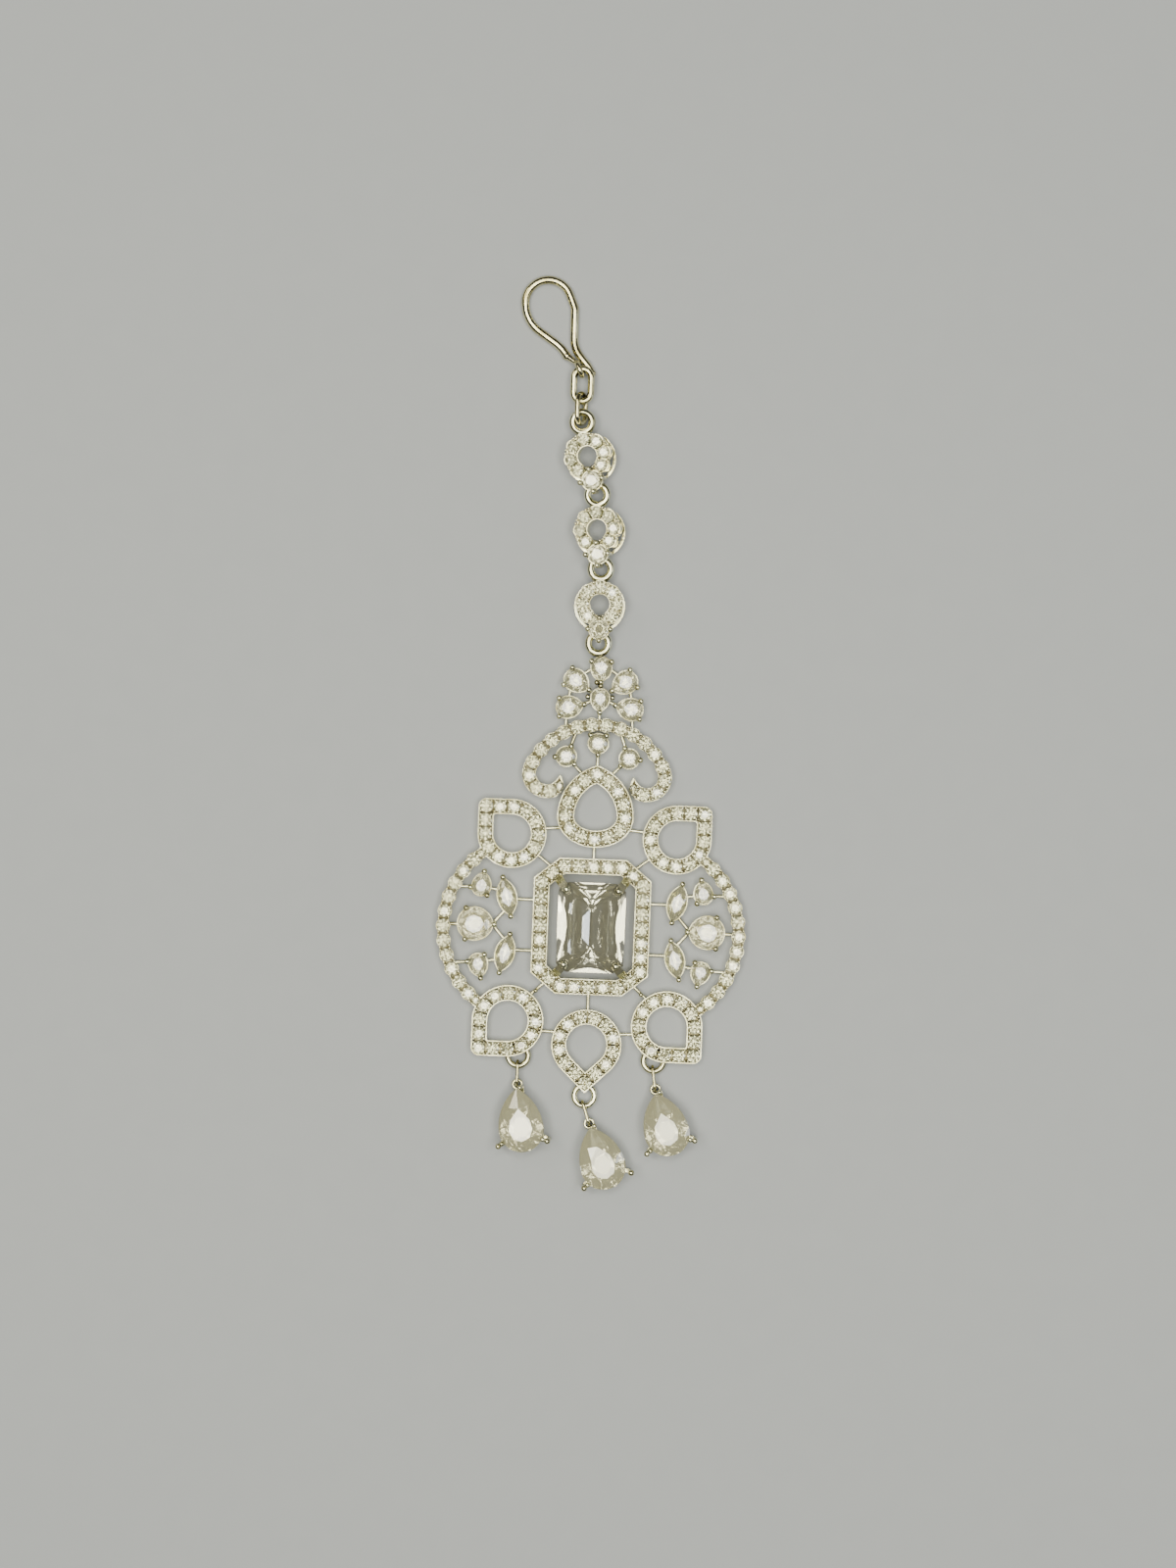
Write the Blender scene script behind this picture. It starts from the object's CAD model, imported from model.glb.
# %% [markdown]
# # A maang tikka, laid on its back
#
# A maang tikka hangs from a hook in the hair parting and rests on the forehead. This one is cast
# in brass, plated with rhodium and set with cubic zirconia. The metal comes ready from the packed
# model, so this lesson adds what a jeweller adds at the bench: the cut stones, the small pave
# stones with their beads of metal, and the polish. The jewel's own lengths are millimetres, as at
# a bench, and are turned to metres where a mesh or a pattern is made.

import bpy
import numpy as np
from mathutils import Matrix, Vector


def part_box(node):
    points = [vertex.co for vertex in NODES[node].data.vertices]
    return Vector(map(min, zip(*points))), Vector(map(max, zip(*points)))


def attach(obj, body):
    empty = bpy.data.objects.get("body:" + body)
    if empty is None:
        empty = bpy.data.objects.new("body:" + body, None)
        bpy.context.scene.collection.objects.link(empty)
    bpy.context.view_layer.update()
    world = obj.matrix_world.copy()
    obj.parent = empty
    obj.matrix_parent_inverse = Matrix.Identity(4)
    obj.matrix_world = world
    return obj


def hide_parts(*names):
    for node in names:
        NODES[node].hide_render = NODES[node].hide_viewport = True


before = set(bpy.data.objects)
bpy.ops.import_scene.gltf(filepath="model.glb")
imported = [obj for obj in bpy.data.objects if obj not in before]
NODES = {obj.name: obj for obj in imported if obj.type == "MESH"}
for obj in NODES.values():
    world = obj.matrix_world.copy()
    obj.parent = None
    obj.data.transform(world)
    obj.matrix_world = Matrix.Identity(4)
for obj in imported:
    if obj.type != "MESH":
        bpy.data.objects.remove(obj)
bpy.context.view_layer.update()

MM = 0.001


# %% [markdown]
# ## Where things are
# The centre stone is the middle of the whole design, so every band is laid out from it, as on
# the model maker's drawing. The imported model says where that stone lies.

# %% Middle of the design
def node_box(name):
    """Lowest corner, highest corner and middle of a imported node, in millimetres."""
    low, high = (np.array(corner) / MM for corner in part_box(name))
    return low, high, (low + high) / 2


CENTRE = node_box("centre_stone")[2][:2]
print("the design's middle lies at", CENTRE.round(3), "mm")


# %% [markdown]
# ## A workshop helper for meshes
# Every new piece is a set of points and faces worked out with numpy. Faces come in groups, one
# array for triangles, one for quads and so on, because an array needs rows of one length.
# The finished object stays at the origin, because its place is in its points.

# %% Make a piece
def make_piece(name, points, groups, material, smooth=False):
    """A mesh object from points in millimetres; it rides on the jewel's one body."""
    faces = [face for group in groups for face in group.tolist()]
    mesh = bpy.data.meshes.new(name)
    mesh.from_pydata((points * MM).tolist(), [], faces)
    mesh.polygons.foreach_set("use_smooth", np.full(len(faces), smooth))
    mesh.materials.append(material)
    piece = bpy.data.objects.new(name, mesh)
    bpy.context.scene.collection.objects.link(piece)
    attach(piece, "root")
    print(f"{name}: {len(points)} points, {len(faces)} faces")
    return piece


# %% [markdown]
# ## Turning and copying
# A stone is cut once at the origin and then turned and carried to its place, one copy for each
# seat. All copies of a row are one multiplication of arrays: frames times points, plus places.

# %% Turns and copies
def turn_about(axis, degrees):
    """Turning matrices about x, y or z (0, 1 or 2), one for each angle.

    In the plane across the axis each holds cosine, minus sine, sine and cosine.
    """
    angle = np.radians(np.atleast_1d(np.asarray(degrees, float)))
    frames = np.tile(np.eye(3), (len(angle), 1, 1))
    first, second = (axis + 1) % 3, (axis + 2) % 3
    frames[:, first, first] = frames[:, second, second] = np.cos(angle)
    frames[:, second, first] = np.sin(angle)
    frames[:, first, second] = -np.sin(angle)
    return frames


def repeat(template, frames, places):
    """Copies of one shape: each point is turned by a copy's frame, then moved to its place."""
    points, groups = template
    copies = np.einsum("nij,vj->nvi", frames, points) + places[:, None]
    shifts = np.arange(len(places))[:, None, None] * len(points)
    return copies.reshape(-1, 3), [(group + shifts).reshape(-1, group.shape[1]) for group in groups]


print("a quarter turn about z takes x to", (turn_about(2, 90)[0] @ (1, 0, 0)).round(3))


# %% [markdown]
# ## Colours and shader nodes
# Colours are written as sRGB hex, as a colour chart gives them, and Cycles needs them linear.
# One helper adds any shader node with its settings, its plain values and its links.

# %% Shader helpers
def linear(colour):
    """sRGB hex to linear RGBA: v/12.92 near black, otherwise ((v + 0.055)/1.055)^2.4."""
    value = np.array([int(colour[i:i + 2], 16) for i in (1, 3, 5)]) / 255
    light = np.where(value <= 0.04045, value / 12.92, ((value + 0.055) / 1.055) ** 2.4)
    return (*light.tolist(), 1.0)


def add_node(tree, kind, inputs=None, **settings):
    """Adds one node; an input is given a value, or another node's output to link to."""
    made = tree.nodes.new(kind)
    for name, value in settings.items():
        setattr(made, name, value)
    for socket, value in (inputs or {}).items():
        if isinstance(value, bpy.types.NodeSocket):
            tree.links.new(value, made.inputs[socket])
        else:
            made.inputs[socket].default_value = value
    return made


def new_material(name):
    """An empty material, and its Principled shader already linked to the output."""
    material = bpy.data.materials.new(name)
    material.use_nodes = True
    tree = material.node_tree
    tree.nodes.clear()
    shader = add_node(tree, "ShaderNodeBsdfPrincipled")
    add_node(tree, "ShaderNodeOutputMaterial", {"Surface": shader.outputs["BSDF"]})
    return material, tree, shader


print("middle grey #808080 is", round(linear("#808080")[0], 3), "linear")


# %% [markdown]
# ## Rhodium plate
# Rhodium is whiter than silver but never quite neutral: over brass it has a warm, faintly
# yellow-green cast. The castings were tumbled, so their skin is bright but slightly uneven, and
# polish never reaches the corners and the floors of the channels, which stay duller and browner.
# The drawn wire of the hook and rings is smoother. A Bevel node rounds the edges as tumbling
# does, and an Ambient Occlusion node finds the places that a polishing wheel can't reach.

# %% Plated metal
WEAR_PATCH = 2.2  # width of a cloudy patch left by the tumbling barrel, mm
WEAR_LIMITS = (0.32, 0.6)  # noise below the first is worn, above the second is bright
GLOSS_LIMITS = (0.3, 0.7)  # noise over which the roughness falls
GRAIN_DEPTH = 0.004  # mm
GRAIN_STRENGTH = 0.25
NOOK_LIMITS = (0.3, 0.9)  # openness at which a nook is fully dull, and fully polished
NOOK_BROWN = "#453f2a"
RAYS = 6


def plated_metal(name, bright, worn, gloss, grain, edge, nook, bright_below=0.0):
    """Polished plate: cloudy patches of wear, a fine grain, soft edges and dull nooks.

    Grain, edge radius, nook size and bright_below are millimetres. Nooks lower than
    bright_below stay bright, because cups are reamed before their stone goes in.
    """
    material, tree, shader = new_material(name)
    place = add_node(tree, "ShaderNodeTexCoord").outputs["Object"]
    patches = add_node(tree, "ShaderNodeTexNoise", {
        "Vector": place, "Scale": 1 / (WEAR_PATCH * MM), "Detail": 4.0, "Roughness": 0.6,
    }).outputs["Fac"]
    fine = add_node(tree, "ShaderNodeTexNoise", {
        "Vector": place, "Scale": 1 / (grain * MM), "Detail": 2.0,
    }).outputs["Fac"]
    openness = add_node(tree, "ShaderNodeAmbientOcclusion", {"Distance": nook * MM}, samples=RAYS)
    polish = add_node(tree, "ShaderNodeMapRange", {
        "Value": openness.outputs["AO"], "From Min": NOOK_LIMITS[0], "From Max": NOOK_LIMITS[1],
    }).outputs["Result"]
    height = add_node(tree, "ShaderNodeSeparateXYZ", {"Vector": place}).outputs["Z"]
    reamed = add_node(tree, "ShaderNodeMath", {0: height, 1: bright_below * MM}, operation="LESS_THAN")
    polish = add_node(
        tree, "ShaderNodeMath", {0: polish, 1: reamed.outputs[0]}, operation="MAXIMUM",
    ).outputs[0]
    colour = add_node(tree, "ShaderNodeValToRGB", {"Fac": patches})
    for stop, position, shade in zip(colour.color_ramp.elements, WEAR_LIMITS, (worn, bright)):
        stop.position = position
        stop.color = linear(shade)
    # A Mix node of colours has its factor in socket 0, its two colours in 6 and 7, its result in 2.
    shaded = add_node(tree, "ShaderNodeMix", {
        0: polish, 6: linear(NOOK_BROWN), 7: colour.outputs["Color"],
    }, data_type="RGBA")
    roughness = add_node(tree, "ShaderNodeMapRange", {
        "Value": patches, "From Min": GLOSS_LIMITS[0], "From Max": GLOSS_LIMITS[1],
        "To Min": gloss[1], "To Max": gloss[0],
    })
    rounded = add_node(tree, "ShaderNodeBevel", {"Radius": edge * MM}, samples=RAYS)
    bump = add_node(tree, "ShaderNodeBump", {
        "Height": fine, "Strength": GRAIN_STRENGTH, "Distance": GRAIN_DEPTH * MM,
        "Normal": rounded.outputs["Normal"],
    })
    tree.links.new(shaded.outputs[2], shader.inputs["Base Color"])
    tree.links.new(roughness.outputs["Result"], shader.inputs["Roughness"])
    tree.links.new(bump.outputs["Normal"], shader.inputs["Normal"])
    shader.inputs["Metallic"].default_value = 1.0
    return material


print("a nook is fully dull under an openness of", NOOK_LIMITS[0], "and polished over", NOOK_LIMITS[1])


# %% [markdown]
# ## Four finishes of the plate
# The frame was cast and tumbled: bright rims, and dull brown floors in its narrow channels. The
# links and drop settings had the same barrel but have no such channels. The hook and rings are
# drawn wire, which is smoother and shows more of the yellow. The beads were burnished one by one
# with a cup tool, so they are the brightest and give the eye its small hard points of light.

# %% Metals
BOTTOM_OF_CHANNELS = 0.8
cast_rhodium = plated_metal(
    "cast_rhodium_plate", "#efedcb", "#b0aa80", gloss=(0.1, 0.24), grain=0.12, edge=0.07, nook=0.8,
    bright_below=BOTTOM_OF_CHANNELS,
)
link_rhodium = plated_metal(
    "tumbled_rhodium_plate", "#efedcb", "#b0aa80", gloss=(0.1, 0.24), grain=0.12, edge=0.07, nook=0.35,
)
drawn_rhodium = plated_metal(
    "drawn_rhodium_wire", "#ebe5b8", "#afa677", gloss=(0.08, 0.18), grain=0.2, edge=0.05, nook=0.35,
)
bead_rhodium = plated_metal(
    "burnished_rhodium_beads", "#f4f2d6", "#cfc8a0", gloss=(0.06, 0.14), grain=0.1, edge=0.03, nook=0.2,
)
print("made", [finish.name for finish in (cast_rhodium, link_rhodium, drawn_rhodium, bead_rhodium)])


# %% [markdown]
# ## Cubic zirconia
# Cubic zirconia bends light more than any natural clear gem but diamond: its index is 2.15 to
# 2.18. That is why the facets flash, so the look comes from real facets and this one number,
# not from a painted sparkle. Worn stones also carry a film of skin oil and fine scratches,
# which scatters a little light: a small part of the shader is matt instead of clear. The hanging
# stones, which are handled most, have most of it, and the guarded centre stone has least.

# %% Clear stone
ZIRCONIA_IOR = 2.16
SMEAR = 0.9  # width of a smear of skin oil, mm
SMEAR_LIMITS = (0.4, 0.7)  # noise over which a clean facet turns into a smeared one


def zirconia(name, tint, clear, haze):
    """Clear stone with a faint tint: clear is its clear part, haze its smears' roughness."""
    material, tree, shader = new_material(name)
    place = add_node(tree, "ShaderNodeTexCoord").outputs["Object"]
    smears = add_node(tree, "ShaderNodeTexNoise", {
        "Vector": place, "Scale": 1 / (SMEAR * MM), "Detail": 2.0,
    }).outputs["Fac"]
    roughness = add_node(tree, "ShaderNodeMapRange", {
        "Value": smears, "From Min": SMEAR_LIMITS[0], "From Max": SMEAR_LIMITS[1],
        "To Min": 0.0, "To Max": haze,
    })
    tree.links.new(roughness.outputs["Result"], shader.inputs["Roughness"])
    shader.inputs["Base Color"].default_value = linear(tint)
    shader.inputs["IOR"].default_value = ZIRCONIA_IOR
    shader.inputs["Transmission Weight"].default_value = clear
    return material


clear_zirconia = zirconia("cubic_zirconia_clear", "#fbfae4", 0.92, 0.03)
cup_zirconia = zirconia("cubic_zirconia_small_stones", "#fdfcdc", 0.84, 0.04)
pave_zirconia = zirconia("cubic_zirconia_pave", "#fcfcd8", 0.86, 0.04)
drop_zirconia = zirconia("cubic_zirconia_soft_polish", "#f8f6d6", 0.78, 0.08)
print("four stones with an index of", ZIRCONIA_IOR)


# %% [markdown]
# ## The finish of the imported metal
# The castings and the wires keep their own meshes. Only their material changes.

# %% Dress the metal nodes
LINKS = [name for name in NODES if name.startswith("chain_link")]
SETTINGS = [name for name in NODES if name.startswith("drop_setting")]
WIRES = ["hair_hook", "hook_ring", "joiner_ring"]
WIRES += [name for name in NODES if name.startswith("drop_link")]
for names, metal in (
    (["pendant_frame"], cast_rhodium), (LINKS + SETTINGS, link_rhodium), (WIRES, drawn_rhodium),
):
    for name in names:
        for slot in NODES[name].material_slots:
            slot.material = metal
print("dressed the frame,", len(LINKS), "links,", len(SETTINGS), "settings and", len(WIRES), "wires")


# %% [markdown]
# ## Outlines of the stones
# A cutter knows an outline by how far it reaches from the stone's middle in each direction.
# So each outline here is a function from angle to reach. A pear is two equal arcs that meet in
# a point, with half an ellipse behind; a marquise is the same two arcs on both sides.

# %% Outline functions
def round_reach(radius):
    """The same reach all round."""
    return lambda angle: np.full(np.shape(angle), radius)


def arcs_reach(angle, half_width, length):
    """Reach of two arcs through (length, 0) and (0, half_width), with their middles on y."""
    radius = (half_width ** 2 + length ** 2) / (2 * half_width)
    offset = half_width - radius
    sine = np.abs(np.sin(angle))
    return offset * sine + np.sqrt(radius ** 2 - offset ** 2 * np.cos(angle) ** 2)


def pear_reach(half_width, tip, base):
    """Arcs towards the tip on +x, and half an ellipse, base deep, behind the widest line."""
    def reach(angle):
        back = 1 / np.hypot(np.cos(angle) / base, np.sin(angle) / half_width)
        return np.where(np.cos(angle) > 0, arcs_reach(angle, half_width, tip), back)
    return reach


def marquise_reach(half_length, half_width):
    """Arcs both ways, with points on +x and -x."""
    return lambda angle: arcs_reach(angle, half_width, half_length)


print("a 2 by 1 marquise reaches", marquise_reach(1, 0.5)(np.radians([0, 45, 90])).round(3))


# %% [markdown]
# ## Cutting a stone
# A brilliant has an eight-sided table, eight star facets, eight kites and sixteen upper girdle
# facets above the girdle; below it are sixteen lower girdle facets and eight mains that meet in
# the culet. The same plan is stretched over a pear or a marquise, as cutters do, and there the
# point below is drawn out into a keel, so that the ends are as steep as the sides. Facets should
# be flat, because a bent facet smears its reflection: so the star points are put on the plane of
# the kites, and girdle points between two corners are put on their facet's plane.

# %% Points of a facet plan
def ring(reach, angle, share, height, keel=(0.0, 0.0)):
    """Points at a share of the way out, from the keel to the outline, at one height or one each.

    The keel is a line on x. Its two numbers say how far it runs ahead of and behind the middle,
    and a point at some angle starts from it at that length times the angle's cosine.
    """
    cosine, sine = np.cos(angle), np.sin(angle)
    start = np.where(cosine > 0, *keel) * cosine
    x = start + share * (reach(angle) * cosine - start)
    return np.stack([x, share * reach(angle) * sine, np.broadcast_to(height, angle.shape)], 1)


def on_facet(points, apex, left, right):
    """Moves each point up or down onto the plane through its facet's three corners."""
    normal = np.cross(left - apex, right - apex)
    offset = points[:, :2] - apex[:, :2]
    moved = points.copy()
    moved[:, 2] = apex[:, 2] - (normal[:, :2] * offset).sum(1) / normal[:, 2]
    return moved


half_out = ring(round_reach(1.0), np.radians([0, 90]), 0.5, 0.0)
print("half way out on a round stone:", half_out.round(3).tolist())


# %% [markdown]
# ## The brilliant itself
# The plan is six rings of points and eight groups of facets between them. An outline of eight
# straight edges would look chipped, so each girdle facet may have several steps along the curve.

# %% Brilliant cut
MAINS = 8
LEAST_CULET = 1.03  # the facets aim at least this much below the flat culet
PAVILION_BREAK = 0.22  # how far out of the culet the mains and the girdle facets meet


def brilliant(reach, crown, girdle, pavilion, table, edge=1, full_depth=0.0, keel=(0.0, 0.0)):
    """Points and facets of a brilliant, with its lower girdle at height 0.

    Rings of points from the top: table corners, star points between them, the upper and the
    lower girdle with 2*edge points for each main, pavilion points, and the culet. The pavilion
    facets aim at full_depth, or at a keel at that depth, and a flat culet cuts them off at the
    pavilion's own depth.
    """
    step = 2 * edge
    main = np.arange(MAINS)
    main_angle = main * 2 * np.pi / MAINS
    half_angle = main_angle + np.pi / MAINS
    girdle_angle = np.arange(MAINS * step) * 2 * np.pi / (MAINS * step)
    bend = np.cos(np.pi / MAINS)
    depth = max(full_depth, pavilion * LEAST_CULET)
    star_share = (1 + table) / 2
    culet_share = (1 - pavilion / depth) / bend
    deep_share = culet_share + PAVILION_BREAK
    star_height = girdle + crown * (1 - star_share * bend) / (1 - table)
    deep_height = -depth * (1 - deep_share * bend)
    stars = ring(reach, half_angle, star_share, star_height)
    deeps = ring(reach, half_angle, deep_share, deep_height, keel)
    culets = ring(reach, half_angle, culet_share, -pavilion, keel)
    upper = ring(reach, girdle_angle, 1, girdle)
    lower = ring(reach, girdle_angle, 1, 0.0)
    half = np.arange(MAINS * step) // edge
    corners = half * edge, (half + 1) * edge % (MAINS * step)
    upper = on_facet(upper, stars[half // 2], upper[corners[0]], upper[corners[1]])
    lower = on_facet(lower, deeps[half // 2], lower[corners[0]], lower[corners[1]])
    tables = ring(reach, main_angle, table, girdle + crown)
    points = np.concatenate([tables, stars, upper, lower, deeps, culets])
    star0, upper0 = MAINS, 2 * MAINS
    lower0 = upper0 + MAINS * step
    deep0 = lower0 + MAINS * step
    culet0 = deep0 + MAINS
    after = (main + 1) % MAINS
    before = (main - 1) % MAINS
    run = (np.arange(2 * MAINS)[:, None] * edge + np.arange(edge + 1)) % (MAINS * step)
    apex = np.arange(2 * MAINS)[:, None] // 2
    edge_now = np.arange(MAINS * step)
    edge_next = (edge_now + 1) % (MAINS * step)
    groups = [
        main[None],
        np.stack([main, main + star0, after], 1),
        np.stack([main, before + star0, main * step + upper0, main + star0], 1),
        np.hstack([apex + star0, run + upper0]),
        np.stack([edge_now + upper0, edge_now + lower0, edge_next + lower0, edge_next + upper0], 1),
        np.hstack([apex + deep0, run[:, ::-1] + lower0]),
        np.stack([
            before + culet0, main + culet0, main + deep0, main * step + lower0, before + deep0,
        ], 1),
        (main[::-1] + culet0)[None],
    ]
    return points, groups


whole = brilliant(round_reach(1.0), 0.3, 0.05, 0.9, 0.56)
print("a round brilliant has", sum(len(group) for group in whole[1]), "facets, with its girdle's 16")


# %% [markdown]
# ## The larger stones
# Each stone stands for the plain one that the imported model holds, so it takes its place, its
# girdle and its height from that one's box. The tables list only what a box can't say: which
# way the stone points, and its proportions.

# %% Stones for cups
GIRDLE = 0.12
CUP_GIRDLE = 1.38
LARGE_CUP_GIRDLE = 1.63
TABLE_SHARE = 0.56
EDGE_STEPS = 4
PAVILION_SLOPE = 0.93  # the tangent of 43 degrees, at which a stone throws light straight back


def set_stone(name, gem, frame_of_gem, material=cup_zirconia):
    """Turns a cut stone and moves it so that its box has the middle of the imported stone's."""
    points, groups = gem
    turned = points @ frame_of_gem.T
    turned += node_box(name)[2] - (turned.min(0) + turned.max(0)) / 2
    piece = make_piece(name + "_cut", turned, groups, material)
    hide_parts(name)


def cup_gem(name, reach, girdle_height):
    """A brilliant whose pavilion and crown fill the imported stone's height.

    Its keel runs each way by the reach less half the width, so that every facet is as steep.
    """
    low, high, _ = node_box(name)
    crown = high[2] - girdle_height - GIRDLE
    half_width = float(reach(np.pi / 2))
    keel = float(reach(0.0)) - half_width, float(reach(np.pi)) - half_width
    return brilliant(
        reach, crown, GIRDLE, girdle_height - low[2], TABLE_SHARE, EDGE_STEPS,
        half_width * PAVILION_SLOPE, keel,
    )


# %% [markdown]
# ## Pears, marquises and rounds
# Most stones come in mirrored pairs, so only the right one is listed. Its twin on the left is
# turned by half a circle less the same angle. The pears' tips point to the stem that joins them,
# and the marquises lean out like two leaves.

# %% Pears, marquises and rounds
PEARS = {
    # name: (half width, tip, way the tip points in degrees)
    "crown_stone_top": (1.17, 1.55, -90),
    "crown_stone_centre": (1.06, 1.5, -90),
    "crown_stone_upper_right": (1.26, 1.8, -146),
    "crown_stone_lower_right": (1.24, 1.8, 169),
    "side_pear_upper_right": (1.06, 1.6, 100),
    "side_pear_lower_right": (1.06, 1.6, -103),
    "side_large_pear_right": (1.88, 2.2, 180),
}
MARQUISES = {"side_marquise_upper_right": 76.5, "side_marquise_lower_right": -76.5}
MARQUISE_HALF_LENGTH = 2.15
MARQUISE_HALF_WIDTH = 1.08
ROUNDS = ["arch_stone_centre", "arch_stone_left", "arch_stone_right"]


def pair(name, turn):
    """The stone and its turn, and where the name ends in right, the mirrored one as well."""
    sides = {name: turn}
    if name.endswith("right"):
        sides[name.replace("right", "left")] = 180 - turn
    return sides.items()


for name, (half_width, tip, turn) in PEARS.items():
    large = "large" in name
    for side, way in pair(name, turn):
        reach = pear_reach(half_width, tip, half_width)
        gem = cup_gem(side, reach, LARGE_CUP_GIRDLE if large else CUP_GIRDLE)
        set_stone(side, gem, turn_about(2, way)[0], drop_zirconia if large else cup_zirconia)
for name, turn in MARQUISES.items():
    for side, way in pair(name, turn):
        reach = marquise_reach(MARQUISE_HALF_LENGTH, MARQUISE_HALF_WIDTH)
        set_stone(side, cup_gem(side, reach, CUP_GIRDLE), turn_about(2, way)[0])
for name in ROUNDS:
    low, high, _ = node_box(name)
    gem = cup_gem(name, round_reach((high[0] - low[0]) / 2), CUP_GIRDLE)
    set_stone(name, gem, np.eye(3))


# %% [markdown]
# ## Stones that hang
# The chain's stones and the three drops lie at small angles, each as its link or ring lets it.
# A frame is built from those angles, first the roll about the stone's own length, then the turn.

# %% Stones of the chain
CHAIN_LINKS = {
    # name: (turn, slope along the link, roll) in degrees
    "1": (14, 0, -13),
    "2": (5, 0, -13),
    "3": (0.5, 2.37, 0),
}
CHAIN_STONE_RADIUS = 1.12
CHAIN_STONE_PAVILION = 0.62
CHAIN_STONE_CROWN = 0.28
CHAIN_STONE_GIRDLE = 0.06


def lying(turn, slope, roll):
    """A piece that is rolled about y, sloped about x and turned about z, in that order."""
    return turn_about(2, turn)[0] @ turn_about(0, slope)[0] @ turn_about(1, roll)[0]


LINK_FRAMES = {name: lying(*row) for name, row in CHAIN_LINKS.items()}
for name, link_frame in LINK_FRAMES.items():
    gem = brilliant(
        round_reach(CHAIN_STONE_RADIUS), CHAIN_STONE_CROWN, CHAIN_STONE_GIRDLE,
        CHAIN_STONE_PAVILION, TABLE_SHARE, EDGE_STEPS, CHAIN_STONE_RADIUS * PAVILION_SLOPE,
    )
    set_stone("chain_stone_" + name, gem, link_frame)


# %% [markdown]
# ## The three drops
# The drops are large flat pears with a wide table and a broad culet, a cheap cut that keeps the
# jewel light. Their facets are few and large, so they show as pale panes. The tip points up.

# %% Drops
DROPS = {
    # name: (turn, roll) in degrees
    "left": (9, -5),
    "middle": (20, 3),
    "right": (18, -3),
}
DROP_HALF_WIDTH = 2.65
DROP_TIP = 4.85
DROP_BASE = 2.7
DROP_PAVILION = 1.63
DROP_CROWN = 0.73
DROP_TABLE = 0.52

drop_gem = brilliant(
    pear_reach(DROP_HALF_WIDTH, DROP_TIP, DROP_BASE), DROP_CROWN, GIRDLE, DROP_PAVILION,
    DROP_TABLE, EDGE_STEPS, DROP_HALF_WIDTH * PAVILION_SLOPE,
)
for name, (turn, roll) in DROPS.items():
    set_stone("drop_stone_" + name, drop_gem, lying(turn, 0, roll) @ turn_about(2, 90)[0], drop_zirconia)


# %% [markdown]
# ## The centre stone
# It is a cut-cornered rectangle in the radiant style. Above the girdle it has steps, as on an
# emerald cut. Below it, one long flat facet leans in from each side and ends in a bow, so that
# each side shows as a pale lens. Between the bows, crossed facets run to a keel, which is the
# line down the stone's dark middle. Each lens is one plane, so its bow is drawn on that plane.

# %% Corners and bows
LENS_SLOPE = 0.72
BOW_STEPS = 3


def cut_corner(half_width, half_height, cut_x, cut_y):
    """The eight corners of a cut-cornered rectangle, from the right side's top round to its foot."""
    return np.array([
        (half_width, half_height - cut_y), (half_width - cut_x, half_height),
        (cut_x - half_width, half_height), (-half_width, half_height - cut_y),
        (-half_width, cut_y - half_height), (cut_x - half_width, -half_height),
        (half_width - cut_x, -half_height), (half_width, cut_y - half_height),
    ])


def bow(first, last, width):
    """Points from one girdle corner to the next: the bow leaves their edge by width*(1 - t^2).

    The bow's height falls by LENS_SLOPE times its distance from the edge, so it is flat.
    """
    share = np.linspace(-1, 1, 2 * BOW_STEPS + 1)[:, None]
    edge = (first + last) / 2 + share * (last - first) / 2
    inward = -(first + last) / np.linalg.norm(first + last)
    distance = width * (1 - share ** 2)
    return np.hstack([edge + inward * distance, -LENS_SLOPE * distance])


print("a bow 1 mm wide is", LENS_SLOPE, "mm lower in its middle than at its ends")


# %% [markdown]
# ## Cutting the radiant
# The crown's steps, the girdle and the bows are rings of points, as in the brilliant, and two
# more points end the keel. Corners are numbered from the right side's top round to its foot, so
# the right side runs from corner 7 to 0, the top from 1 to 2, and so on. Each half of a bow is
# joined by a fan of facets to the nearer end of the keel.

# %% Radiant cut
CENTRE_CUT = (1.2, 0.95)  # how much each corner takes off in x and y
CENTRE_GIRDLE = 3.4
CENTRE_TABLE = 0.66
CROWN_STEP = (0.85, 0.6)  # the middle step's share of the outline and of the crown's height
LENS_WIDTH = (1.75, 1.45)  # on the long sides and on the ends
KEEL_HALF_LENGTH = 2.3
CORNERS = 8
BOWS = {7: (1, 0), 1: (0, 0), 3: (0, 1), 5: (1, 1)}  # first corner: keel end for each half, 0 on top


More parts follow.
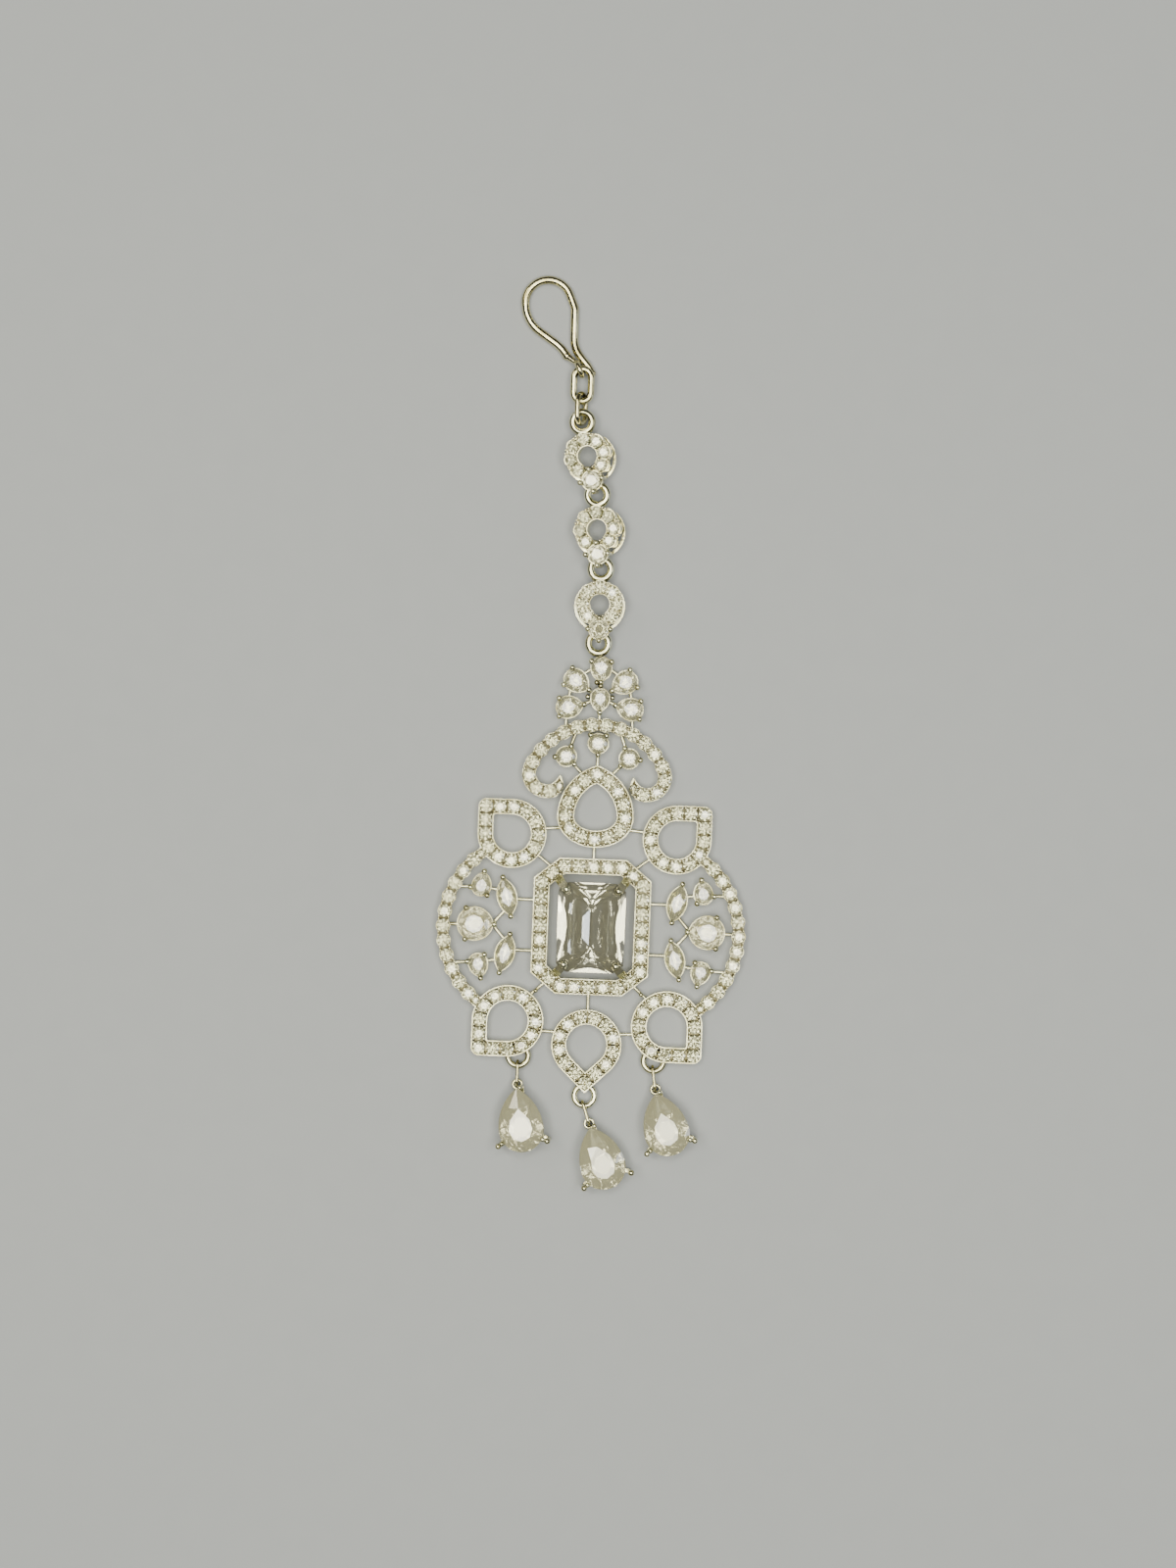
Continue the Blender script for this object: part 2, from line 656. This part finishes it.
def radiant(corners, crown, girdle, pavilion, table):
    """Step-cut crown, girdle, four flat lenses, crossed facets and a keel, as points and faces."""
    share, rise = CROWN_STEP
    levels = ((table, girdle + crown), (share, girdle + crown * rise), (1, girdle), (1, 0))
    rings = [np.column_stack([corners * size, np.full(CORNERS, height)]) for size, height in levels]
    widths = LENS_WIDTH * 2
    bows = [bow(corners[i], corners[(i + 1) % CORNERS], width) for i, width in zip(BOWS, widths)]
    keel = np.array([(0, KEEL_HALF_LENGTH, -pavilion), (0, -KEEL_HALF_LENGTH, -pavilion)])
    points = np.concatenate(rings + [line[1:-1] for line in bows] + [keel])
    now = np.arange(CORNERS)
    after = (now + 1) % CORNERS
    walls = [
        np.stack([now + top, now + top + CORNERS, after + top + CORNERS, after + top], 1)
        for top in CORNERS * np.arange(len(levels) - 1)
    ]
    lower = CORNERS * (len(levels) - 1)
    inner = 2 * BOW_STEPS - 1
    keel0 = lower + CORNERS + len(BOWS) * inner
    lenses, fans = [], []
    for order, (start, ends) in enumerate(BOWS.items()):
        run = lower + CORNERS + order * inner + np.arange(inner)
        run = np.r_[lower + start, run, lower + (start + 1) % CORNERS]
        lenses.append(run)
        for half, end in zip((run[:BOW_STEPS + 1], run[BOW_STEPS:]), ends):
            fans.append(np.stack([np.full(BOW_STEPS, keel0 + end), half[1:], half[:-1]], 1))
        if ends[0] != ends[1]:
            fans.append(np.array([[keel0 + ends[0], keel0 + ends[1], run[BOW_STEPS]]]))
    cut = np.arange(0, CORNERS, 2)
    corner_keels = keel0 + cut // (CORNERS // 2)
    fans.append(np.stack([corner_keels, lower + (cut + 1) % CORNERS, lower + cut], 1))
    return points, [now[None], *walls, np.array(lenses), *fans]


low, high, _ = node_box("centre_stone")
corners = cut_corner(*((high - low)[:2] / 2), *CENTRE_CUT)
gem = radiant(corners, high[2] - CENTRE_GIRDLE - GIRDLE, GIRDLE, CENTRE_GIRDLE - low[2], CENTRE_TABLE)
set_stone("centre_stone", gem, np.eye(3), clear_zirconia)


# %% [markdown]
# ## Where the pave stones sit
# Pave stones follow the middle line of each band at an even pitch. Each line is a list of plain
# arcs and straights; it is sampled finely, measured, and then cut at equal steps, as a setter
# steps a divider along the metal.

# %% Arcs and steps
SAMPLES = 240
DIRECTION_REACH = 0.3  # a line's direction is taken over this much to each side


def arc(x, y, radius, start, end):
    """Points along an arc from one angle to another, in degrees."""
    angle = np.radians(np.linspace(start, end, SAMPLES))
    return np.column_stack([x + radius * np.cos(angle), y + radius * np.sin(angle)])


def line_length(line):
    """The sum of the distances from each point to the next."""
    return np.hypot(*np.diff(line, axis=0).T).sum()


def step_along(line, distances):
    """Points and directions (degrees) at given distances along a line of close points."""
    run = np.hypot(*np.diff(line, axis=0).T)
    keep = np.r_[True, run > 1e-9]
    line = line[keep]
    length = np.r_[0, np.cumsum(run[keep[1:]])]

    def at(place):
        return np.column_stack([np.interp(place, length, line[:, i]) for i in (0, 1)])

    way = at(distances + DIRECTION_REACH) - at(distances - DIRECTION_REACH)
    return at(distances), np.degrees(np.arctan2(way[:, 1], way[:, 0]))


print("a 1 mm circle's line is", round(line_length(arc(0, 0, 1, 0, 360)), 4), "mm long")


# %% [markdown]
# ## The halo and the leaves
# The halo frames the centre stone with the same cut corners. A leaf is a ring with one square
# corner, and four of them stand at the halo's corners, their own corners pointing outwards. A
# band's outline is the one on the model, and its middle line lies half a band inside.

# %% Lines of the halo and the leaves
HALO = (6.9, 8.0, 2.95, 2.4)  # half width, half height, and the cut corner's x and y
HALO_BAND = 1.85
UPPER_LEAF = (9.7, 10.6, 4.05)  # middle x and y, outer radius
LOWER_LEAF = (9.35, -11.4, 4.2)
LEAF_BAND = 1.82


def cut_rectangle_line(half_width, half_height, cut_x, cut_y, inset):
    """Cut-cornered rectangle moved in by inset: each side's line is moved along its normal."""
    slope = np.hypot(cut_x, cut_y)
    across, up = cut_y / slope, cut_x / slope
    reach = across * (half_width - cut_x) + up * half_height - inset
    width, height = half_width - inset, half_height - inset
    top_x, side_y = (reach - up * height) / across, (reach - across * width) / up
    quarter = np.array([(0, height), (top_x, height), (width, side_y), (width, 0)])
    half = np.vstack([quarter, (quarter * (1, -1))[::-1]])
    return np.vstack([half, (half * (-1, 1))[::-1]])


def leaf_line(x, y, radius, up):
    """Ring with one square corner, pointing outwards and up or down; it starts at the corner."""
    size = radius - LEAF_BAND / 2
    corner = np.array([(size, size)])
    quarter = np.vstack([corner, arc(0, 0, size, 90, 360), corner])
    return quarter * (1, up) + (x, y)


print("the halo's line is", round(line_length(cut_rectangle_line(*HALO, HALO_BAND / 2)), 2), "mm long")


# %% [markdown]
# ## The teardrops
# The one above the halo is a pear of two arcs and half an ellipse. The one below is a circle
# with two tangents that meet in a tip. Both lines start at their tip.

# %% Lines of the teardrops
TOP_TEARDROP = (12.9, 4.5, 6.1, 3.6)  # y of the widest line, half width, tip and base from there
TOP_TEARDROP_BAND = 2.0
LOW_TEARDROP = (-13.85, 4.12, 46.5)  # middle y, outer radius, angle of the tangents' ends
LOW_TEARDROP_BAND = 1.75


def top_teardrop_line():
    """Pear about its widest line, moved in by half the band; it starts at the tip."""
    y, half_width, tip, base = TOP_TEARDROP
    inset = TOP_TEARDROP_BAND / 2
    radius = (half_width ** 2 + tip ** 2) / (2 * half_width) - inset
    width = half_width - inset
    sweep = np.degrees(np.arccos((radius - width) / radius))
    side = arc(width - radius, y, radius, sweep, 0)
    bottom = arc(0, 0, 1, 0, -180) * (width, base - inset) + (0, y)
    return np.vstack([side, bottom, (side * (-1, 1))[::-1]])


def low_teardrop_line():
    """Circle with two tangents that meet in a tip below; it starts at the tip."""
    y, radius, half_angle = LOW_TEARDROP
    size = radius - LOW_TEARDROP_BAND / 2
    tip = np.array([(0, y - size / np.sin(np.radians(half_angle)))])
    return np.vstack([tip, arc(0, y, size, -half_angle, 180 + half_angle), tip])


for name, line in (("top", top_teardrop_line()), ("low", low_teardrop_line())):
    print("the", name, "teardrop's line is", round(line_length(line), 2), "mm long")


# %% [markdown]
# ## The arch
# The arch is part of a circle, and each of its ends rolls in round a small circle that touches
# the large one from inside. So its half line is two arcs that share one direction where they meet.

# %% Line of the arch
ARCH = (15.2, 8.55)  # middle y and radius
CURL = (5.87, 17.83, 2.12)  # middle x and y, radius
CURL_END = -150


def arch_half_line():
    """From the arch's highest point down its right side and round the curl."""
    y, radius = ARCH
    curl_x, curl_y, curl_radius = CURL
    join = np.degrees(np.arctan2(curl_y - y, curl_x))
    return np.vstack([arc(0, y, radius, 90, join), arc(curl_x, curl_y, curl_radius, join, CURL_END)])


print("half the arch's line is", round(line_length(arch_half_line()), 2), "mm long")


# %% [markdown]
# ## The small stone and its bead
# A pave stone is a full-cut brilliant with almost no girdle, and its sixteen lower facets run to
# a point. It is repeated 174 times, so it has only a few dozen facets. A bead is a short stem
# with a domed head, raised from the metal beside the stone and pushed over its edge.

# %% Pave stone and bead
STONE_RADIUS = 0.78
STONE_CROWN = 0.23
STONE_PAVILION = 0.7
BEAD_RADIUS = 0.17
BEAD_TOP = 1.62
BEAD_FOOT = 0.95
BEAD_SIDES = 8
BEAD_RINGS = (68, 42, 12)  # degrees up the dome, from its top ring down


def melee(radius, crown, pavilion, table):
    """The small stone of a pave: a full crown, no girdle wall and sixteen facets to a point."""
    points, groups = brilliant(round_reach(radius), crown, 0.0, pavilion, table)
    edge = np.arange(2 * MAINS)
    upper0 = 2 * MAINS
    point = upper0 + 2 * MAINS
    points = np.vstack([points[:point], (0, 0, -pavilion)])
    after = (edge + 1) % (2 * MAINS)
    below = np.stack([np.full(2 * MAINS, point), after + upper0, edge + upper0], 1)
    return points, groups[:4] + [below]


def lathe(radii, heights, sides):
    """A profile turned about z: rings of points from the top down, closed by flat ends."""
    angle = np.arange(sides) * 2 * np.pi / sides
    radius, height = np.array(radii)[:, None], np.array(heights)[:, None]
    points = np.stack([
        radius * np.cos(angle), radius * np.sin(angle), np.broadcast_to(height, (len(radii), sides)),
    ], 2).reshape(-1, 3)
    row = np.arange(len(radii) - 1)[:, None] * sides
    now = np.arange(sides)
    after = (now + 1) % sides
    walls = np.stack([row + now, row + now + sides, row + after + sides, row + after], 2).reshape(-1, 4)
    last = (len(radii) - 1) * sides
    return points, [now[None], walls, (last + now[::-1])[None]]


pave_stone = melee(STONE_RADIUS, STONE_CROWN, STONE_PAVILION, TABLE_SHARE)
dome = np.radians(BEAD_RINGS)
bead_stem = lathe(
    [*(BEAD_RADIUS * np.cos(dome)), BEAD_RADIUS],
    [*(BEAD_RADIUS * np.sin(dome)), BEAD_FOOT - BEAD_TOP],
    BEAD_SIDES,
)
print("a pave stone has", sum(len(group) for group in pave_stone[1]), "facets")


# %% [markdown]
# ## Setting a row
# The setter drops each stone into its seat and pushes four small beads of metal over its edge,
# two on each side of every gap. No two stones end up quite level, which is what makes a pave
# twinkle, so each gets a small tilt of its own from a seeded draw.

# %% Setting a row
STONE_GIRDLE = 1.56
TILT = 5.0
BEAD_SPREAD = 0.2
draw = np.random.default_rng(28)


def set_pave(name, stones, ways, gaps, gap_ways, rail, frames=np.eye(3), origin=(0, 0, 0), sizes=1.0):
    """Stones at their places, and four beads round each gap, rail out from the middle line.

    Places are points of the plane; frames and origin then carry the whole row to where it lies.
    """
    count = len(stones)
    tilt = draw.uniform(-TILT, TILT, (2, count))
    size = np.broadcast_to(sizes, count)
    turns = turn_about(2, ways) @ turn_about(0, tilt[0]) @ turn_about(1, tilt[1]) * size[:, None, None]
    places = np.column_stack([stones, np.full(count, STONE_GIRDLE)])
    points, groups = repeat(pave_stone, turns, places)
    make_piece(name + "_pave", points @ frames.T + origin, groups, pave_zirconia)
    spots = np.array([(along, across) for along in (-1, 1) for across in (-1, 1)]) * (BEAD_SPREAD, rail)
    angle = np.radians(gap_ways)[:, None]
    along, across = spots[None, :, 0], spots[None, :, 1]
    x = gaps[:, :1] + along * np.cos(angle) - across * np.sin(angle)
    y = gaps[:, 1:] + along * np.sin(angle) + across * np.cos(angle)
    places = np.stack([x, y, np.full(x.shape, BEAD_TOP)], 2).reshape(-1, 3)
    points, groups = repeat(bead_stem, np.tile(np.eye(3), (len(places), 1, 1)), places)
    placed = points @ frames.T + origin
    make_piece(name + "_beads", placed, groups, bead_rhodium, smooth=True)


def pave_ring(name, line, count, rail):
    """An even ring of stones round a closed middle line, the first at the line's start."""
    turn = line_length(line)
    pitch = turn / count
    looped = np.vstack([line[:-1], line, line[1:]])
    stones, ways = step_along(looped, turn + pitch * np.arange(count))
    gaps, gap_ways = step_along(looped, turn + pitch * (np.arange(count) + 0.5))
    set_pave(name, stones, ways, gaps, gap_ways, rail, origin=(*CENTRE, 0))
    print(f"  {name} pitch {pitch:.2f} mm")


print("seats have their stones' edges", STONE_GIRDLE, "mm above the table")


# %% [markdown]
# ## Paved rings
# The halo takes 28 stones and each leaf 13. The teardrops start with one stone in their tip.
# The rail says how far the beads stand from the middle line, which is just inside a band's rims.

# %% Halo, leaves and teardrops
HALO_RAIL = 0.66
TOP_TEARDROP_RAIL = 0.72
LOW_TEARDROP_RAIL = 0.6
LEAF_RAIL = 0.62
HALO_STONES = 28
TOP_TEARDROP_STONES = 14
LOW_TEARDROP_STONES = LEAF_STONES = 13

halo_line = cut_rectangle_line(*HALO, HALO_BAND / 2)
pave_ring("halo", halo_line, HALO_STONES, HALO_RAIL)
pave_ring("teardrop_top", top_teardrop_line(), TOP_TEARDROP_STONES, TOP_TEARDROP_RAIL)
pave_ring("teardrop_low", low_teardrop_line(), LOW_TEARDROP_STONES, LOW_TEARDROP_RAIL)
for name, leaf, up in (("leaf_upper", UPPER_LEAF, 1), ("leaf_lower", LOWER_LEAF, -1)):
    line = leaf_line(*leaf, up)
    pave_ring(name + "_right", line, LEAF_STONES, LEAF_RAIL)
    pave_ring(name + "_left", line * (-1, 1), LEAF_STONES, LEAF_RAIL)


# %% [markdown]
# ## The scrolled arch
# This band is open, so its row starts from the middle and runs out both ways. The last stone of
# each curl is smaller, because the metal tapers there.

# %% The arch's row
ARCH_PITCH = 1.7
ARCH_COUNT = 9
ARCH_LAST = (15.75, 0.7)  # the last stone's distance along the line, and its size
OPEN_RAIL = 0.56

half_line = arch_half_line()
steps = np.r_[(np.arange(ARCH_COUNT) + 0.5) * ARCH_PITCH, ARCH_LAST[0]]
right, ways = step_along(half_line, steps)
right_gaps, right_gap_ways = step_along(half_line, np.arange(ARCH_COUNT + 1) * ARCH_PITCH)
stones = np.vstack([right, right * (-1, 1)])
gaps = np.vstack([right_gaps, right_gaps[1:] * (-1, 1)])
set_pave(
    "arch", stones, np.r_[ways, 180 - ways], gaps, np.r_[right_gap_ways, 180 - right_gap_ways[1:]],
    OPEN_RAIL, origin=(*CENTRE, 0), sizes=np.tile(np.r_[np.ones(ARCH_COUNT), ARCH_LAST[1]], 2),
)


# %% [markdown]
# ## The side arcs
# Each is a single arc about a point on the halo, and runs from the upper leaf to the lower one.
# Eleven stones stand at an even step, and one much smaller stone fills either end.

# %% The side arcs' rows
SIDE_ARC = (6.37, -0.5, 11.0)  # middle x and y, radius
SIDE_PITCH = 9.1  # degrees from stone to stone
SIDE_COUNT = 11
SIDE_LAST = (51.6, 0.48)  # the end stones' angle and size

side_x, side_y, side_radius = SIDE_ARC
even_angle = (np.arange(SIDE_COUNT) - (SIDE_COUNT - 1) / 2) * SIDE_PITCH
stone_angle = np.r_[-SIDE_LAST[0], even_angle, SIDE_LAST[0]]
side_sizes = np.r_[SIDE_LAST[1], np.ones(SIDE_COUNT), SIDE_LAST[1]]
gap_angle = (np.arange(SIDE_COUNT + 1) - SIDE_COUNT / 2) * SIDE_PITCH


def round_places(angle, radius):
    """Points at a radius from the origin, one for each angle in degrees."""
    return radius * np.column_stack([np.cos(np.radians(angle)), np.sin(np.radians(angle))])


for name, sign in (("side_arc_right", 1), ("side_arc_left", -1)):
    rows = [
        (round_places(angle, side_radius) + (side_x, side_y)) * (sign, 1)
        for angle in (stone_angle, gap_angle)
    ]
    set_pave(
        name, rows[0], sign * (stone_angle + 90), rows[1], sign * (gap_angle + 90), OPEN_RAIL,
        origin=(*CENTRE, 0), sizes=side_sizes,
    )


# %% [markdown]
# ## The chain's rings of stones
# Each link carries seven small stones round its drop-shaped opening and one larger one below.
# The row is laid out on the link's own plane and carried by the link's frame.

# %% Chain pave
LINK_STONE_STEP = 2.95  # from the larger stone up to the middle of the ring
LINK_RING_RADIUS = 2.0
LINK_FLOOR = 1.02  # height on the link of the plane that the row's heights start from
LINK_STONE_SIZE = 0.94
LINK_RAIL = 0.6
CHAIN_STONE_MIDDLE = 2.9  # height on the link of the larger stone's middle
LINK_PITCH = 45  # degrees from stone to stone

link_angle = 90 + LINK_PITCH * np.arange(-3, 4)
link_gap_angle = 90 + LINK_PITCH * (np.arange(-3, 5) - 0.5)
for name, link_frame in LINK_FRAMES.items():
    rows = [
        round_places(angle, LINK_RING_RADIUS) + (0, LINK_STONE_STEP)
        for angle in (link_angle, link_gap_angle)
    ]
    stone_middle = node_box("chain_stone_" + name)[2]
    origin = stone_middle - link_frame @ (0, 0, CHAIN_STONE_MIDDLE - LINK_FLOOR)
    set_pave(
        "chain_" + name, rows[0], link_angle + 90, rows[1], link_gap_angle + 90, LINK_RAIL,
        frames=link_frame, origin=origin, sizes=LINK_STONE_SIZE,
    )


# %% [markdown]
# ## The table top
# The jewel lies on a plain pale board with matt paint. Its grey is slightly cool, so that the
# plate's warm cast stands out from it, and its roughness varies a little, as brushed paint does.

# %% Table top
BOARD_RADIUS = 3  # metres
BOARD_SIDES = 96
BOARD_DROP = 0.02  # mm below the jewel's back
PAINT_GRAIN = 3  # mm


def pale_floor():
    """A wide disc of matt paint: one face through points on a circle."""
    material, tree, shader = new_material("matt_painted_board")
    place = add_node(tree, "ShaderNodeTexCoord").outputs["Object"]
    grain = add_node(tree, "ShaderNodeTexNoise", {
        "Vector": place, "Scale": 1 / (PAINT_GRAIN * MM), "Detail": 3.0,
    })
    shade = add_node(tree, "ShaderNodeMapRange", {
        "Value": grain.outputs["Fac"], "To Min": 0.55, "To Max": 0.65,
    })
    tree.links.new(shade.outputs["Result"], shader.inputs["Roughness"])
    shader.inputs["Base Color"].default_value = linear("#959aa2")
    angle = np.linspace(0, 2 * np.pi, BOARD_SIDES, endpoint=False)
    depth = np.full(BOARD_SIDES, -BOARD_DROP * MM)
    rim = np.column_stack([BOARD_RADIUS * np.cos(angle), BOARD_RADIUS * np.sin(angle), depth])
    mesh = bpy.data.meshes.new("table_top")
    mesh.from_pydata(rim.tolist(), [], [list(range(BOARD_SIDES))])
    mesh.materials.append(material)
    floor = bpy.data.objects.new("table_top", mesh)
    bpy.context.scene.collection.objects.link(floor)
    print("a board", 2 * BOARD_RADIUS, "m across")


pale_floor()


# %% [markdown]
# ## The light
# Facets need something bright and something dark to show, so the room is dim and soft panels
# hang over the table. Four large ones make a ring round the upright. The ring's middle stays
# dark, because the centre stone's large flat table would mirror a panel there and turn milky.
# Four small and faint panels inside the ring stand where the flat tables of the small stones
# mirror them. Two more stand lower, a warm one at the left and a cool one at the right, and
# light the sides of the metal. Lengths here are metres.

# %% Soft panels
WARM_WHITE = "#fffae4"
GLINT_WHITE = "#fffdf0"
PANELS = {
    # name: (width, depth towards the jewel, height, east, north, watts, colour)
    "top_panel_left": (0.46, 0.18, 0.7, -0.235, -0.03, 3.5, WARM_WHITE),
    "top_panel_right": (0.46, 0.18, 0.7, 0.235, -0.03, 3.0, WARM_WHITE),
    "top_panel_far": (0.28, 0.14, 0.7, -0.01, 0.23, 1.5, WARM_WHITE),
    "top_panel_near": (0.28, 0.22, 0.7, 0.01, -0.208, 1.8, WARM_WHITE),
    "glint_panel_left": (0.03, 0.055, 0.7, -0.031, -0.053, 0.055, GLINT_WHITE),
    "glint_panel_right": (0.03, 0.055, 0.7, 0.035, -0.053, 0.055, GLINT_WHITE),
    "glint_panel_crown": (0.038, 0.045, 0.7, 0.002, 0.016, 0.055, GLINT_WHITE),
    "glint_panel_chain": (0.05, 0.08, 0.7, -0.01, 0.085, 0.12, GLINT_WHITE),
    "key_panel": (0.2, 0.2, 0.45, -0.42, 0.3, 0.7, "#fff6e0"),
    "side_panel": (0.3, 0.12, 0.2, 0.55, 0.0, 0.35, "#dfe8ff"),
}


def panel(name, width, depth, height, east, north, watts, colour):
    """A soft panel over the table; its face looks along the line to the jewel's middle."""
    data = bpy.data.lights.new(name, "AREA")
    data.shape = "RECTANGLE"
    data.size = width
    data.size_y = depth
    data.energy = watts
    data.color = linear(colour)[:3]
    light = bpy.data.objects.new(name, data)
    light.location = (east, north, height)
    aim = Vector((0, 0, 0)) - light.location
    light.rotation_euler = aim.to_track_quat("-Z", "Y").to_euler()
    bpy.context.scene.collection.objects.link(light)


for name, row in PANELS.items():
    panel(name, *row)
print(len(PANELS), "panels,", round(sum(row[5] for row in PANELS.values()), 2), "watts in all")


# %% [markdown]
# ## The room
# The rest of the room is an even dim grey. Facets and metal that mirror no panel show this, so
# it isn't quite black: in a black room the jewel would look inked.

# %% Dim room
ROOM_GREY = "#c9ced6"
ROOM_STRENGTH = 0.1

world = bpy.data.worlds.new("dim_room")
world.use_nodes = True
background = world.node_tree.nodes["Background"]
background.inputs["Color"].default_value = linear(ROOM_GREY)
background.inputs["Strength"].default_value = ROOM_STRENGTH
bpy.context.scene.world = world
print("the room has a strength of", ROOM_STRENGTH)


# %% [markdown]
# ## The camera
# It looks straight down from 38 cm above the table. The jewel stands almost upright in the
# view, turned by about two degrees, and a little above the view's middle.

# %% Camera
VIEW_HEIGHT = 381.5
VIEW_MIDDLE = (-1.02, -5.98)
VIEW_TURN = 2.3  # degrees
LENS_LENGTH = 74.3
FILM_SIZE = 36

lens = bpy.data.cameras.new("camera")
lens.lens = LENS_LENGTH
lens.sensor_width = FILM_SIZE
lens.clip_start = 0.01
lens.clip_end = 20
camera = bpy.data.objects.new("camera", lens)
camera.location = (VIEW_MIDDLE[0] * MM, VIEW_MIDDLE[1] * MM, VIEW_HEIGHT * MM)
camera.rotation_euler = (0, 0, np.radians(VIEW_TURN))
bpy.context.scene.collection.objects.link(camera)
bpy.context.scene.camera = camera
print("the view's longer side takes in", round(VIEW_HEIGHT * FILM_SIZE / LENS_LENGTH, 1), "mm")
